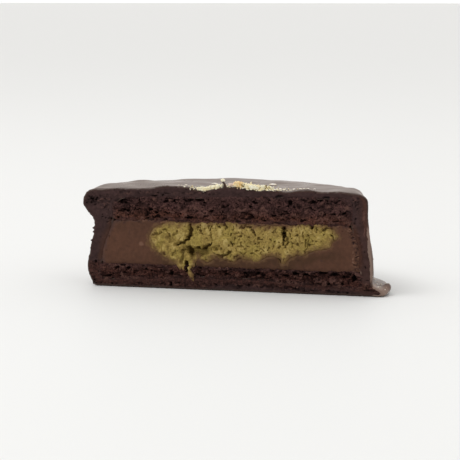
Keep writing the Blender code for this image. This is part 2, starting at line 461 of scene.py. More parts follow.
# %% Make room for the core in the ganache
room_share = (0.98, 0.98, 0.94)
pick(core)
bpy.ops.object.duplicate()
core_room = bpy.context.object
bpy.ops.transform.resize(value=room_share, center_override=(core_x, cut_y, core_middle))
cut_room(ganache, settle(core_room))
report(ganache)

# %% [markdown]
# ## Fine skins on the cut
#
# Only the cut face shows its crumb, so only there does the mesh need to be fine. Each layer
# gets an even skin of about half a millimetre, and the faces on the cut are then divided
# again until they are about a tenth of a millimetre.

# %% Refine the cut faces
layer_reach = 0.35
coat_reaches = (0.9, 0.3)


def divide_near_cut(piece, reach):
    """Divides the faces whose centres lie less than the reach behind the cut, in mm."""
    pick(piece)
    mesh = piece.data
    for parts in (mesh.vertices, mesh.edges):
        parts.foreach_set("select", [False] * len(parts))
    for face in mesh.polygons:
        face.select = face.center.y < cut_y + reach * mm
    bpy.ops.object.mode_set(mode="EDIT")
    bpy.ops.mesh.select_mode(type="FACE")
    bpy.ops.mesh.subdivide(number_cuts=1, smoothness=0)
    bpy.ops.object.mode_set(mode="OBJECT")


for piece, size in ((lid, 0.5), (floor_biscuit, 0.5), (ganache, 0.55), (core, 0.45)):
    even_skin(piece, size)
    for _ in range(2):
        divide_near_cut(piece, layer_reach)
    report(piece)
for reach in coat_reaches:
    divide_near_cut(coat, reach)
report(coat)

# %% [markdown]
# ## Noise as a carving tool
#
# The crumb of a biscuit, the lumps of nut paste and the drag marks of a knife are all
# irregular heights over the cut plane. Small functions make them from seeded random
# numbers: soft hills, cells like packed grains, and strokes such as cracks. Each takes the
# points' places on the cut in millimetres and returns one number for each point.

# %% Hills, cells and strokes


def hills(u, v, size, seed, stretch=1.0):
    """Smooth random hills from -1 to 1, about `size` mm wide and `stretch` times as long."""
    table = np.random.default_rng(seed).uniform(-1, 1, (128, 128))
    x, y = u / (size * stretch), v / size
    i, j = np.floor(x).astype(int), np.floor(y).astype(int)
    fx, fy = x - i, y - j
    fx, fy = fx * fx * (3 - 2 * fx), fy * fy * (3 - 2 * fy)
    left, right, low, high = i % 128, (i + 1) % 128, j % 128, (j + 1) % 128
    below = table[left, low] * (1 - fx) + table[right, low] * fx
    above = table[left, high] * (1 - fx) + table[right, high] * fx
    return below * (1 - fy) + above * fy


def rough(u, v, size, seed, octaves=3, stretch=1.0):
    """Hills with smaller hills on them."""
    total = 0
    for octave in range(octaves):
        total = total + hills(u, v, size / 2 ** octave, seed + octave, stretch) / 2 ** octave
    return total / 1.5


def cells(u, v, size, seed):
    """Distance to the nearest and the second nearest of scattered grain centres, in sizes."""
    jitter = np.random.default_rng(seed).uniform(0.1, 0.9, (64, 64, 2))
    x = u / size
    y = v / size
    i = np.floor(x).astype(int)
    j = np.floor(y).astype(int)
    first = np.full(u.shape, 9.0)
    second = np.full(u.shape, 9.0)
    for di in (-1, 0, 1):
        for dj in (-1, 0, 1):
            spot = jitter[(i + di) % 64, (j + dj) % 64]
            away = np.hypot(i + di + spot[:, 0] - x, j + dj + spot[:, 1] - y)
            second = np.minimum(second, np.maximum(first, away))
            first = np.minimum(first, away)
    return first, second


def stroke(u, v, points):
    """Distance in mm from each point to a line drawn through the given points."""
    nearest = np.full(u.shape, 99.0)
    for (x0, y0), (x1, y1) in zip(points, points[1:]):
        dx, dy = x1 - x0, y1 - y0
        share = np.clip(((u - x0) * dx + (v - y0) * dy) / (dx * dx + dy * dy), 0, 1)
        nearest = np.minimum(nearest, np.hypot(u - x0 - share * dx, v - y0 - share * dy))
    return nearest


def uneven(u, v, points, amount, size, seed):
    """Distance to a line, in mm, made uneven by noise."""
    return stroke(u, v, points) + amount * rough(u, v, size, seed)


def within(u, v, outline):
    """Whether each point lies inside a closed line, by counting the sides it passes."""
    inside = np.zeros(u.shape, dtype=bool)
    for (x0, y0), (x1, y1) in zip(outline, outline[1:]):
        if y0 != y1:
            spans = (v > min(y0, y1)) & (v <= max(y0, y1))
            inside ^= spans & (u < x0 + (v - y0) * (x1 - x0) / (y1 - y0))
    return inside


def step_up(value, start, end):
    """0 below the start, 1 above the end, smooth between."""
    share = np.clip((value - start) / (end - start), 0, 1)
    return share * share * (3 - 2 * share)


def highest(*shares):
    """The largest of several shares at each point."""
    return np.maximum.reduce(shares)


def step_down(value, start, end):
    """1 below the start, 0 above the end, smooth between."""
    return 1 - step_up(value, start, end)


def outline_of(rows, rise=0.0):
    """The section of a round layer as a closed line of (x, height) points."""
    low = rows[0][0]
    span = rows[-1][0] - low

    def point(x, height):
        return x, height + rise * x * (height - low) / span

    left = [point(-left, height) for height, left, right in rows]
    right = [point(right, height) for height, left, right in rows]
    return left + right[::-1] + left[:1]


lid_outline = outline_of(lid_rows, lid_rise)
base_outline = outline_of(base_rows)
ganache_outline = outline_of(ganache_rows)
core_border = core_outline + core_outline[:1]
print("the core's outline has", len(core_outline), "points")

# %% [markdown]
# ### How a field is carved
#
# Each layer gets a field: a function that says for every place on the cut how deep the knife
# tore it, how it is tinted and how much painted shade or painted highlight its colour gets. A
# sculpting brush would do it once by hand; a field can be read, changed and run again. The
# points on the cut move back by that depth, and the shares are stored on them for the finishes.

# %% Carve a cut face with a field of depths
waver_reach = 1.2
waves = ((2.2, 40), (0.55, 60))  # size in mm and seed, of the broad and of the fine one


def places(mesh):
    """A mesh's points, and where they lie along, above and behind the cut, in mm."""
    co = np.empty(len(mesh.vertices) * 3)
    mesh.vertices.foreach_get("co", co)
    co = co.reshape(-1, 3)
    return co, (co[:, 0] - axis_x) / mm, co[:, 2] / mm, (co[:, 1] - cut_y) / mm


def store(mesh, co, shares):
    """Gives a mesh its moved points back, and the shares that its finish reads."""
    mesh.vertices.foreach_set("co", co.ravel())
    for name, values in shares:
        layer = mesh.attributes.new(name, "FLOAT", "POINT")
        layer.data.foreach_set("value", np.asarray(values * np.ones(len(co)), dtype=float))
    mesh.update()


def carve(piece, field, waver, seed):
    """Moves the points on the cut by the field's depth, in mm, and stores its colours.

    The field gets each point's place on the cut and returns the depth into the cookie and
    three or four shares: the painted shade of pores, cracks and hollows with the painted
    highlight of raised grains (and a few darker or paler marks), the warmer tint, the blend
    with the neighbouring layer and, in the ganache, the paste that was dragged into it.
    Borders waver, broadly and finely, less and less away from the cut.
    """
    co, u, v, behind = places(piece.data)
    depth, *shares = field(u, v)
    on_cut = step_down(behind, 0.02, 0.3)
    near = step_down(behind, 0.0, waver_reach)
    for (size, start), amount in zip(waves, waver):
        co[:, 0] += near * amount * rough(u, v, size, seed + start) * mm
        co[:, 2] += near * amount * rough(u, v, size, seed + start + 10) * mm
    co[:, 1] += on_cut * depth * mm
    co[:, 2] = np.maximum(co[:, 2], 0)
    store(piece.data, co, zip(("cut", "painted_light_and_stain", "tint", "blend", "paste"), [on_cut] + shares))
    print(piece.name, f"carved from {depth.min():.2f} to {depth.max():.2f} mm")


# %% [markdown]
# ### Biscuit crumb
#
# A cocoa biscuit breaks into a fine, dry crumb with many small pores. The pores lie flat,
# drawn out along the layers, because the dough was rolled. Thresholded noise, stretched
# sideways, gives such pores at random; the large pores, and the paler lumps of crumb in the
# lower biscuit, are listed one by one. Under the base the thin coat is broken up with the
# crumb, so it shares the same field.

# %% Carve the two biscuits
lid_pores = (  # x, height, half length, half height, in mm
    (-28.4, 22.0, 0.85, 0.4), (-34.3, 22.0, 0.4, 0.2), (-35.7, 22.3, 0.25, 0.17),
    (-26.6, 21.2, 0.4, 0.23), (-23.2, 22.3, 0.25, 0.33), (-26.9, 19.6, 1.1, 0.22),
    (-23.8, 19.7, 0.9, 0.15), (-20.3, 19.7, 0.6, 0.33), (-18.7, 19.3, 0.7, 0.2),
    (-19.2, 23.3, 0.8, 0.17), (-17.2, 23.4, 0.2, 0.33), (-16.1, 21.9, 0.75, 0.38),
    (-14.2, 22.0, 0.4, 0.25), (-28.7, 17.7, 0.3, 0.25), (-21.2, 17.8, 0.5, 0.25),
    (-12.7, 19.1, 0.38, 0.2), (-10.2, 22.5, 1.0, 0.38), (-7.6, 22.7, 1.1, 0.4),
    (-6.2, 22.1, 0.3, 0.2), (-10.3, 18.1, 1.1, 0.25), (-4.4, 19.8, 0.6, 0.25),
    (-0.6, 21.2, 0.25, 0.2), (4.4, 23.5, 0.45, 0.28), (12.1, 24.0, 1.05, 0.3),
    (15.4, 23.7, 0.28, 0.17), (6.4, 22.5, 0.62, 0.25), (9.8, 22.2, 0.5, 0.17),
    (15.0, 22.4, 0.4, 0.75), (14.4, 21.6, 0.38, 0.3), (20.5, 22.7, 0.85, 0.4),
    (22.3, 23.4, 0.8, 0.5), (23.9, 24.0, 0.95, 0.42), (5.5, 18.7, 0.6, 0.45),
    (8.5, 18.0, 0.55, 0.2), (11.3, 19.4, 0.88, 0.25), (28.2, 20.2, 0.62, 0.3),
    (25.6, 20.0, 0.5, 0.25), (26.4, 18.3, 0.7, 0.2), (30.2, 22.4, 0.25, 0.3),
)
base_pores = (
    (-29.1, 5.0, 0.55, 0.3), (-27.5, 5.5, 0.5, 0.25), (-26.2, 4.9, 0.4, 0.4),
    (-34.7, 6.2, 0.2, 0.4), (-31.0, 2.9, 0.3, 0.4), (-21.5, 4.8, 0.4, 0.35),
    (-15.1, 4.3, 0.6, 0.5), (-15.0, 1.3, 0.25, 0.5), (-7.4, 5.5, 0.38, 0.25),
    (-1.5, 5.1, 0.62, 0.2), (3.8, 4.9, 0.45, 0.4), (4.2, 3.6, 0.45, 0.3), (7.0, 4.9, 0.6, 0.4),
    (13.6, 5.9, 0.5, 0.25), (14.1, 4.5, 0.75, 0.3), (16.3, 5.0, 0.85, 0.4), (19.0, 4.9, 1.0, 0.45),
    (22.9, 5.5, 1.4, 0.5), (26.0, 5.1, 1.2, 0.5), (28.3, 4.4, 0.25, 0.65), (27.9, 3.0, 0.3, 0.35),
    (30.8, 4.4, 0.55, 0.95), (31.7, 6.6, 0.35, 0.25), (24.6, 2.8, 0.25, 0.4),
    (-11.0, 5.0, 0.42, 0.9),
)
base_lumps = (
    (22.1, 3.7, 0.9, 0.65), (23.9, 3.1, 0.7, 0.6), (25.7, 3.6, 0.9, 0.6), (27.1, 2.8, 0.5, 0.4),
    (31.9, 5.4, 0.5, 0.6), (33.0, 4.6, 0.4, 0.35), (-27.9, 3.6, 0.35, 0.25),
    (-12.6, 1.6, 0.6, 0.25),
)


def sunk_border(u, v, outline):
    """Depth of a layer's front near its border, where it dips behind the coat's."""
    return 0.14 * step_down(stroke(u, v, outline), 0.0, 0.9)


def pressed(u, v, pores):
    """How deep the hand-placed pores are at each point, from 0 to 1."""
    total = np.zeros(u.shape)
    waver = 0.4 * rough(u, v, 0.5, 90)
    for x, y, half_length, half_height in pores:
        away = np.hypot((u - x) / half_length, (v - y) / half_height) + waver
        total = np.maximum(total, step_down(away, 0.5, 1.35))
    return total


def crumb_relief(u, v, seed, grain=1.0):
    """Depth and painted shading of the crumb, without the listed pores.

    The painted shade is 1 deep in a pore and in the hollows; the value falls below 0 as a
    painted highlight on the grains that catch the light.
    """
    clusters = 0.14 * rough(u, v, 4.5, seed + 19, 2)
    clusters = clusters + 0.12 * step_up(u, -16, 2) * step_down(v, 6, 8)
    open_pores = step_up(rough(0.8 * u, 1.1 * v, 0.62 * grain, seed, 2, 2.1) + clusters, 0.38, 0.62)
    pinholes = step_up(rough(u, v, 0.32 * grain, seed + 5, 2, 1.3) + clusters, 0.32, 0.60)
    lumps = 0.22 * rough(u, v, 0.75 * grain, seed + 12, 3, 1.6)
    lumps = lumps + 0.08 * hills(u, v, 0.26, seed + 13)
    depth = 0.16 * rough(u, v, 2.6, seed + 11) + lumps + 0.5 * open_pores + 0.35 * pinholes
    # painted shade where the crumb lies low between its lumps
    hollow_shade = 0.6 * step_up(lumps + 0.5 * clusters, 0.0, 0.2)
    painted_light_and_stain = highest(0.9 * open_pores, 0.75 * pinholes, hollow_shade)
    # painted shade in pores and hollows; the raised lumps get a painted highlight
    return depth, painted_light_and_stain - step_up(-lumps, 0.03, 0.20) * (1 - painted_light_and_stain)


def biscuit_field(outline, pores, lumps, seed, warm_low, warm_high, grain):
    """The field of one biscuit; below warm_low it is at its warmest."""
    def field(u, v):
        inside = step_up(uneven(u, v, outline, 0.8, 1.6, seed + 3), 0.1, 1.6)
        big = pressed(u, v, pores)
        pale = pressed(u, v, lumps)
        depth, painted_light_and_stain = crumb_relief(u, v, seed, grain)
        warm = step_down(v + 0.9 * rough(u, v, 2.4, seed + 14), warm_low, warm_high)
        # the listed pores get painted shade; the pale lumps are paler crumb
        painted_light_and_stain = np.where(big > 0.1, np.maximum(painted_light_and_stain, big), painted_light_and_stain - 0.65 * pale)
        depth = depth * (0.4 + 0.6 * inside) + 0.9 * big - 0.2 * pale
        depth = sunk_border(u, v, outline) + depth
        return depth, np.clip(painted_light_and_stain, -1, 1), np.maximum(warm, pale), 1 - inside
    return field


carve(lid, biscuit_field(lid_outline, lid_pores, (), 100, 17.4, 21.0, 1.0), (0.4, 0.3), 1)
carve(floor_biscuit, biscuit_field(base_outline, base_pores, base_lumps, 200, 0.5, 2.5, 0.72),
      (0.25, 0.25), 2)

# %% [markdown]
# ### Knife-drawn ganache
#
# The filling is smooth. It only keeps the slight drag lines of the blade, shallow dents and
# a bubble or two. The blade smeared its borders: chocolate from the coat at the left, paste
# under the core, crumb along the lid and in an arc at the right. Below the core the filling is
# darker and more olive. The crumb gets painted shade in its pores and painted highlight on
# its grains.

# %% Carve the ganache
ganache_blister = (-22.7, 11.1, 0.45, 0.45)  # x, height, half length, half height, in mm
ganache_nicks = ((-25.9, 14.0, 0.12, 0.9), (-27.0, 16.2, 0.35, 0.14), (22.7, 8.5, 0.3, 0.2))
crumb_arc = ((28.4, 18.0), (30.0, 16.4), (31.2, 14.4), (31.9, 12.2), (31.9, 9.6), (31.6, 7.4))
left_border = ((-29.0, 17.2), (-30.2, 16.5), (-31.6, 13.4), (-33.2, 9.0), (-33.2, 5.7))


def ganache_field(u, v):
    # the blade's drag lines, shallow swells and a few bubbles
    drag = hills(u, v * 0.12, 0.5, 301) * 0.02
    swells = 0.09 * rough(u, v, 4.5, 302, 2)
    bubbles = step_up(hills(u, v, 0.55, 303), 0.93, 0.99) * 0.25
    # crumb under the lid and in the arc
    arc = step_down(uneven(u, v, crumb_arc, 0.5, 1.0, 307), 0.8, 1.6)
    under_lid = step_up(v + 0.6 * rough(u, v, 1.2, 305), 16.0, 17.2)
    crumbs = np.maximum(arc, under_lid)
    crumb_depth, crumb_painted_light = crumb_relief(u, v, 300, 0.75)
    # the ganache darker and more olive below the core, and smears of the coat and the paste
    under_core_darkening = step_down(uneven(u, v, core_border, 0.9, 1.6, 306), 1.2, 3.4)
    under_core_darkening = under_core_darkening * step_down(v, 9, 11) * step_up(u, -22, -16)
    coat_smear = stroke(u, v, left_border) + 0.5 * rough(u, v * 0.5, 1.5, 308)
    coat_smear = 0.6 * step_down(coat_smear, 0.0, 1.5)
    paste = step_down(uneven(u, v, core_border, 0.5, 0.6, 309), 0.0, 0.75)
    inside = step_up(stroke(u, v, ganache_outline), 0.0, 0.8)
    depth = drag + swells + bubbles + (0.8 * crumb_depth - 0.15) * crumbs
    # crumb in the arc and under the lid: painted shade in its pores, painted highlight on its
    # grains; the nicks are darker and the blister paler
    painted_light_and_stain = np.where(arc > under_lid, 1.4 * crumb_painted_light - 0.2, crumb_painted_light) * crumbs
    nicks, blister = pressed(u, v, ganache_nicks), pressed(u, v, (ganache_blister,))
    painted_light_and_stain = np.clip(painted_light_and_stain, -1, 1) + 0.5 * nicks - 0.8 * blister
    return sunk_border(u, v, ganache_outline) + depth * inside, painted_light_and_stain, under_core_darkening, coat_smear, paste
carve(ganache, ganache_field, (0.25, 0.15), 3)

# %% [markdown]
# ### Crumbly pistachio paste
#
# The core is a dry paste. Its lumps are smooth and lie close together, and the knife tore
# small pits, broad hollows and upright cracks between them. The larger ones are drawn as
# strokes through a few points, and their width wavers with the noise.

# %% Carve the core
core_cracks = (  # half width and depth in mm, then the points (x, height) it runs through
    (0.17, 0.5, ((-19.9, 13.2), (-19.1, 13.8), (-18.5, 13.5), (-17.6, 14.2))),
    (0.15, 0.4, ((-17.1, 14.9), (-16.3, 14.9), (-15.8, 14.1), (-15.4, 13.2))),
    (0.14, 0.4, ((-14.4, 13.6), (-13.6, 14.7))),
    (0.24, 0.9, ((-10.2, 16.2), (-10.0, 15.0), (-10.4, 13.5), (-10.7, 12.5), (-11.4, 12.2))),
    (0.20, 0.6, ((-11.8, 11.8), (-13.0, 11.4), (-13.8, 11.3))),
    (0.14, 0.4, ((-14.0, 9.4), (-14.3, 8.1))),
    (0.48, 1.0, ((-10.3, 10.3), (-10.1, 9.3))),
    (0.17, 0.5, ((-12.0, 9.7), (-12.0, 7.9), (-12.5, 6.4))),
    (0.15, 0.4, ((-7.7, 15.1), (-7.1, 13.9))),
    (0.18, 0.6, ((-4.8, 15.8), (-4.8, 14.7))),
    (0.12, 0.4, ((-4.8, 14.7), (-4.6, 12.7))),
    (0.16, 0.6, ((-1.3, 16.8), (-1.1, 15.6))),
    (0.15, 0.6, ((0.3, 14.6), (0.1, 12.9), (0.5, 11.6))),
    (0.13, 0.5, ((3.0, 12.5), (3.2, 11.0), (3.2, 10.0))),
    (0.20, 0.8, ((-8.6, 10.3), (-6.1, 10.6), (-5.1, 11.1), (-4.7, 11.9))),
    (0.14, 0.6, ((-4.8, 10.2), (-3.8, 9.2), (-3.3, 8.7), (-2.0, 8.8), (-0.2, 10.1))),
    (0.16, 0.6, ((2.8, 16.4), (4.3, 16.4), (5.4, 15.8), (5.8, 15.0), (6.3, 14.3))),
    (0.17, 0.6, ((7.4, 13.8), (7.3, 12.8))),
    (0.12, 0.4, ((6.3, 10.3), (7.3, 10.7), (8.6, 10.5))),
    (0.36, 1.4, ((13.4, 16.5), (13.5, 14.5), (13.5, 13.4))),
    (0.15, 0.6, ((13.5, 13.6), (13.4, 12.1))),
    (0.13, 0.5, ((14.3, 13.8), (14.3, 12.6), (13.9, 11.6))),
    (0.14, 0.4, ((18.1, 15.2), (18.1, 14.0))),
    (0.27, 0.9, ((19.6, 16.8), (20.7, 16.1))),
    (0.18, 0.6, ((23.2, 15.4), (23.7, 16.1), (24.7, 16.3))),
    (0.18, 0.6, ((25.4, 14.9), (25.8, 13.5))),
    (0.12, 0.4, ((19.0, 13.0), (19.0, 11.5))),
    (0.12, 0.4, ((20.0, 12.0), (21.0, 12.7))),
)
core_pits = (  # x, height, half size in mm
    (-8.2, 15.8, 0.36), (-2.8, 15.9, 0.42), (2.7, 13.8, 0.33), (1.3, 8.8, 0.3), (9.9, 16.3, 0.35),
    (11.1, 12.9, 0.25), (9.6, 11.3, 0.3), (5.3, 9.8, 0.3), (16.8, 14.5, 0.27), (19.5, 14.4, 0.33),
    (21.7, 16.3, 0.25), (25.4, 16.4, 0.35), (17.0, 12.3, 0.35), (16.6, 9.7, 0.27),
    (-16.9, 8.9, 0.4),
)
drip_slot = (-11.1, 6.0, 0.48, 1.55)  # x, height, half length, half height, in mm
core_hollows = (  # half width and depth in mm, then the points (x, height) it runs through
    (1.10, 1.1, ((-10.6, 10.2), (-9.2, 9.6), (-7.4, 9.6), (-6.2, 10.2))),
    (0.85, 0.9, ((-7.4, 9.9), (-5.3, 10.9))),
    (0.50, 0.7, ((-13.7, 11.4), (-12.2, 11.7), (-11.0, 12.4), (-10.5, 13.4))),
    (0.55, 0.6, ((-4.6, 10.7), (-2.6, 10.5))),
    (0.45, 0.5, ((-15.6, 12.9), (-15.0, 11.8))),
    (0.50, 0.6, ((13.5, 16.4), (13.5, 14.9))),
    (0.60, 0.5, ((19.4, 16.8), (21.2, 16.5))),
)


def core_field(u, v):
    # cracks and hollows, along bent lines
    bent_u = u + 0.30 * hills(u, v, 0.8, 411) + 0.10 * hills(u, v, 0.33, 426)
    bent_v = v + 0.30 * hills(u, v, 0.8, 424) + 0.10 * hills(u, v, 0.33, 427)
    cracks = np.zeros(u.shape)
    spread = 1.0 + 0.7 * hills(u, v, 0.9, 410)
    for half_width, deep, points in core_cracks:
        away = stroke(bent_u, bent_v, points) / ((1.2 * half_width + 0.05) * spread)
        cracks = np.maximum(cracks, deep * step_down(away, 0.3, 1.7))
    cracks = cracks * step_up(hills(u, v, 1.1, 425), -0.8, -0.35)
    hollow = np.zeros(u.shape)
    for half_width, deep, points in core_hollows:
        away = stroke(bent_u, bent_v, points) / half_width + 0.5 * rough(u, v, 0.7, 428)
        hollow = np.maximum(hollow, deep * step_down(away, 0.3, 1.5))
    slot = pressed(u, v, (drip_slot,))
    cracks = np.maximum(cracks, 1.5 * slot)
    round_pits = [(x, y, half, half) for x, y, half in core_pits]
    # seams between the lumps, and pits
    grain_u = bent_u + 0.3 * hills(u, v, 1.5, 412)
    grain_v = v * 0.8 + 0.3 * hills(u, v, 1.5, 419)
    first, second = cells(grain_u, grain_v, 1.9, 413)
    seams = step_down(second - first, 0.03, 0.22) * step_up(hills(u, v, 1.6, 420), 0.0, 0.7)
    small = step_up(rough(u, v * 0.7, 0.42, 415, 2) + 0.12 * hills(u, v, 3.0, 429), 0.36, 0.68)
    pits = np.maximum(pressed(u, v, round_pits), 0.8 * small * (0.35 + 0.65 * step_up(u, -15, -8)))
    lumps = 0.18 * rough(u, v, 1.3, 417, 3) + 0.06 * hills(u, v, 0.3, 418) - 0.10 * (0.6 - first)
    # all depths together, then painted shade in the pits, seams, cracks, hollows and low places
    # between lumps, and a painted highlight on the raised lumps
    depth = 0.30 * rough(u, v, 3.2, 416) + lumps + 0.20 * seams
    depth = depth + 0.40 * pits + cracks + hollow - 0.1
    between = 0.5 * step_up(lumps, 0.02, 0.2)
    shade = np.clip(highest(0.3 * seams, 0.8 * pits, 1.4 * cracks, 0.6 * hollow, between), 0, 1)
    painted_light_and_stain = shade - 1.0 * step_up(-lumps, 0.02, 0.2) * (1 - shade)
    border = stroke(u, v, core_border)
    edge = step_down(border + 0.7 * rough(u, v, 1.0, 422), 0.0, 1.7)
    green = step_up(rough(u, v, 2.2, 423), -0.3, 0.5)
    depth = 0.14 * step_down(border, 0.0, 0.8) + depth * step_up(border, 0.0, 0.7)
    return depth, painted_light_and_stain, green, edge


carve(core, core_field, (0.3, 0.2), 4)

# %% [markdown]
# ### The broken edge of the coat
#
# Cold chocolate breaks rather than cuts. Its section is flat with shallow shell-like
# facets and a few trapped bubbles, and crumb was pressed into it beside the biscuits. On the
# right the blade broke a long bevel off the wall. A painted highlight runs as a paler line
# along the upper and right edges of the section, with a few painted glints, and the bubbles
# and pores get painted shade. On the left splinters stand out from a jagged edge. The broken
# wall and the foot are stored as a share for a pale colour, partly bloom and partly painted
# sheen, and the handled wall as "dull".

# %% Carve the coat
splinters = (  # height, how far it stands out, half width, in mm
    (17.2, 0.5, 0.3), (14.7, 1.0, 0.4), (13.7, 0.8, 0.45), (11.6, 0.8, 0.4), (9.6, 0.3, 0.3),
)
# painted highlights at the right edge of the section and at the foot's break
edge_glints = ((33.1, 19.4, 0.35, 1.1), (33.4, 16.0, 0.16, 1.5), (34.1, 3.2, 0.5, 0.3))
inner_wall_left = ((-30.2, 16.5), (-31.6, 13.4), (-33.4, 7.5))
inner_wall_right = ((29.9, 17.5), (31.8, 13.4), (32.4, 7.5))
left_corner = ((-35.0, 22.4), (-29.5, 20.6))
bevel_reach = 3.2
bevel_cut, bevel_uneven = 0.12, 0.25


def pressed_crumb(u, v):
    """Shares of crumb in the section: low down, beside the biscuits and in the arc."""
    wavering = v + 0.8 * rough(u, v, 1.8, 504) + 3.0 * step_up(u, 32.2, 33.4)
    low = step_down(wavering, 5.5, 7.0) * step_up(v, 0.3, 0.9)
    bare = 0.9 * step_up(u, -7, -3) * step_down(v + 0.5 * rough(u, v, 1.5, 508), 1.0, 2.0)
    beside = np.minimum(stroke(u, v, lid_outline), stroke(u, v, base_outline))
    beside = step_down(beside + 1.0 * rough(u, v, 1.7, 505), 0.5, 2.2) * step_down(v, 24.0, 24.8)
    beside = beside * (1 - step_up(u, 30.6, 31.6) * step_down(v, 19.5, 21.5))
    corner = step_down(uneven(u, v, left_corner, 1.3, 1.3, 506), 0.8, 2.4)
    arc = 0.7 * step_down(uneven(u, v, crumb_arc, 0.4, 1.0, 307), 0.7, 1.5)
    return low * (1 - bare), np.maximum(beside, corner), arc


def smeared_ganache(u, v):
    """Ganache on the inner walls and at the right, and a painted highlight line along the base."""
    near = np.minimum(stroke(u, v, inner_wall_left), stroke(u, v, inner_wall_right))
    near = 0.8 * step_down(near + 0.5 * rough(u, v * 0.5, 1.5, 507), 0.0, 1.5)
    base_highlight_line = step_up(u, 2, 5) * step_down(u, 17, 20) * step_down(v, 0.25, 0.6)
    return highest(near, base_highlight_line, 0.3 * step_up(u, 31.0, 32.8))


def painted_edge_highlight(u, v):
    """A painted highlight: the paler line along the upper edge and the right edge of the section.
    """
    below_edge = np.interp(u, *zip(*edge_heights)) - v
    heights, _, rights = zip(*wall_rows)
    to_wall = np.interp(v, heights, rights) - u + 0.3
    to_rim = np.minimum(below_edge, to_wall) + 0.2 * rough(u, v, 1.0, 508)
    return step_up(u, 8, 14) * step_up(v, 3, 5) * step_down(to_rim, 0.25, 0.8)


def coat_field(u, v):
    depth = 0.10 * rough(u, v, 2.8, 501, 2) + 0.04 * rough(u, v, 0.9, 502, 2)
    bubbles = step_up(rough(u, v, 0.5, 503, 2, 1.6), 0.66, 0.82)
    low, beside, arc = pressed_crumb(u, v)
    crumbly = highest(low, beside, arc)
    crumb_depth, crumb_painted_light = crumb_relief(u, v, 200, 0.72)
    big = pressed(u, v, lid_pores + base_pores)
    # the layers lie in front of the coat here, so only what is outside them shows
    away = np.full(u.shape, 99.0)
    hidden = np.zeros(u.shape, dtype=bool)
    for outline in (base_outline, ganache_outline, lid_outline):
        away = np.minimum(away, stroke(u, v, outline))
        hidden |= within(u, v, outline)
    outside = step_up(away, 0.0, 0.8)
    depth = 0.05 + outside * (depth + 0.4 * bubbles + crumbly * crumb_depth) + 0.7 * big
    depth = np.where(hidden, 0.05 + 0.25 * outside, depth)
    crumb_painted_light = outside * crumbly * crumb_painted_light
    # painted shade in the crumb, the bubbles and the pores
    shaded_holes = highest(crumb_painted_light, 0.7 * bubbles * outside, big)
    painted_light_and_stain = np.where(np.maximum(bubbles, big) > 0.1, shaded_holes, crumb_painted_light)
    # painted highlight along the upper and right edges and in the glints; it also goes into the
    # tint
    rim = painted_edge_highlight(u, v)
    glints = np.maximum(pressed(u, v, edge_glints), 0.3 * rim)
    painted_light_and_stain = painted_light_and_stain - glints * (1 - np.maximum(painted_light_and_stain, 0))
    return depth, painted_light_and_stain, highest(low, arc, rim), smeared_ganache(u, v)


def break_edges(piece):
    """Bevels the right edge of the cut and pulls splinters out of the left one."""
    co, u, v, behind = places(piece.data)
    right = step_up(u, 31.5, 33.0) * step_up(v, 2.5, 4.5) * step_down(v, 16.0, 18.5)
    chipped = step_down(behind, 0.0, bevel_reach) * right
    co[:, 0] -= chipped * (bevel_cut + bevel_uneven * rough(u, v, 1.7, 510)) * mm
    on_foot = step_up(u, 34.8, 35.8) * step_down(v, 4.0, 5.5) * step_down(behind, 1.5, 5)
    handled = step_up(u, 29.0, 31.5) * step_up(v, 2.5, 6)
    handled = handled * step_down(v + 2.5 * rough(behind, v, 5.0, 512), 13, 21)
    reach = behind + 5 * rough(behind, v, 4.0, 513)
    rim = step_down(u, -35.2, -33.6)
    for height, out, half in splinters:
        shard = np.clip(1 - np.abs(v - height) / half, 0, 1)
        co[:, 0] -= step_down(behind, 0.0, 0.6) * rim * shard * out * mm
    ragged = step_up(v, 9.5, 11.5) * step_down(v, 18, 19.5)
    co[:, 0] += step_down(behind, 0.0, 0.9) * rim * ragged * 0.22 * rough(u, v, 0.5, 511) * mm
    near_break = 0.45 * handled * step_down(reach, 1, 7)
    # the first share paints the bevel, the foot and the wall near the break paler: partly bloom,
    # partly painted sheen
    store(piece.data, co, (("chip_bloom_and_sheen", highest(chipped, on_foot, near_break)),
                           ("dull", np.maximum(chipped, handled * step_down(reach, 6, 20)))))


carve(coat, coat_field, (0.12, 0.12), 5)
break_edges(coat)

# %% [markdown]
# ## Finishes
#
# Every material is made from the same few moves: noise in Object coordinates for colour
# patches, the carved share of painted shade for the dark insides of pores and of painted
# highlight for the raised grains, and a fine bump for what is smaller than the mesh. A kit
# keeps one material's nodes together and makes each move a single call.

# %% A small kit for materials
grain_scale = 2600


